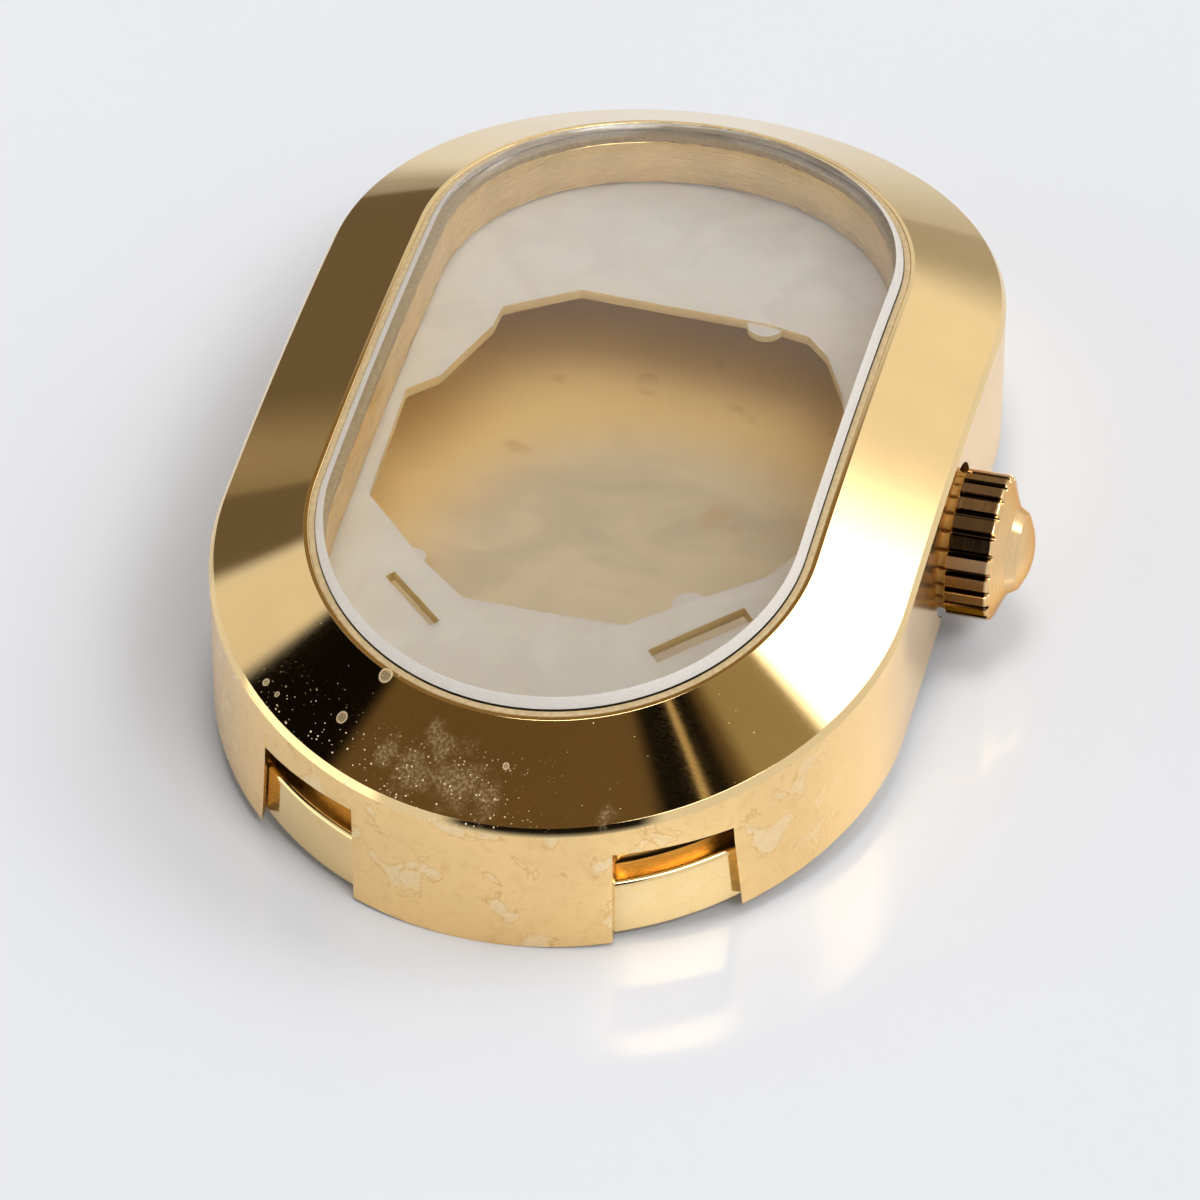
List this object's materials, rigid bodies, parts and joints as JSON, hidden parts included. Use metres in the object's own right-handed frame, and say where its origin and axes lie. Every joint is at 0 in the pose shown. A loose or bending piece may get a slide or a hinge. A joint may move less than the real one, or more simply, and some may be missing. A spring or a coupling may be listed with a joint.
{
  "type": "watch case",
  "caption": "Empty oval watch case with a broad bevelled bezel, curved glass, pull-off back, white movement ring and a fluted pull-and-turn crown.",
  "frame": {"origin": "centre of the case outline in plan, in the plane on which the two ends of the side wall rest", "axes": "+X towards the crown (three o'clock), +Y towards twelve o'clock, +Z out of the crystal"},
  "size_m": [0.0246, 0.035, 0.0083],
  "materials": {
    "case_gold": "polished gold plating",
    "back_gold": "polished gold plating, dulled inside",
    "crown_gold": "polished gold plating",
    "mineral_glass": "polished, ground edge",
    "gasket_nylon": "translucent",
    "holder_plastic": "moulded, slightly glossy",
    "gasket_rubber": "matt",
    "tube_brass": "turned",
    "stem_steel": "turned"
  },
  "bodies": {
    "case": {"case_middle": "case_gold", "crystal": "mineral_glass", "crystal_gasket": "gasket_nylon", "movement_holder": "holder_plastic", "crown_tube": "tube_brass"},
    "crown_slide": {"crown_gasket": "gasket_rubber", "crown_washer": "tube_brass"},
    "crown": {"crown": "crown_gold", "crown_post": "tube_brass", "stem": "stem_steel"},
    "back": {"case_back": "back_gold", "back_gasket": "gasket_rubber"}
  },
  "joints": [
    {"name": "crown_pull", "type": "slide", "parent": "case", "child": "crown_slide", "axis": [1, 0, 0], "range_m": [0, 0.001]},
    {"name": "crown_turn", "type": "hinge", "parent": "crown_slide", "child": "crown", "pos_m": [0.0115, 0, 0.0036], "axis": [1, 0, 0], "continuous": true},
    {"name": "back_off", "type": "slide", "parent": "case", "child": "back", "axis": [0, 0, -1], "range_m": [0, 0.012]}
  ]
}
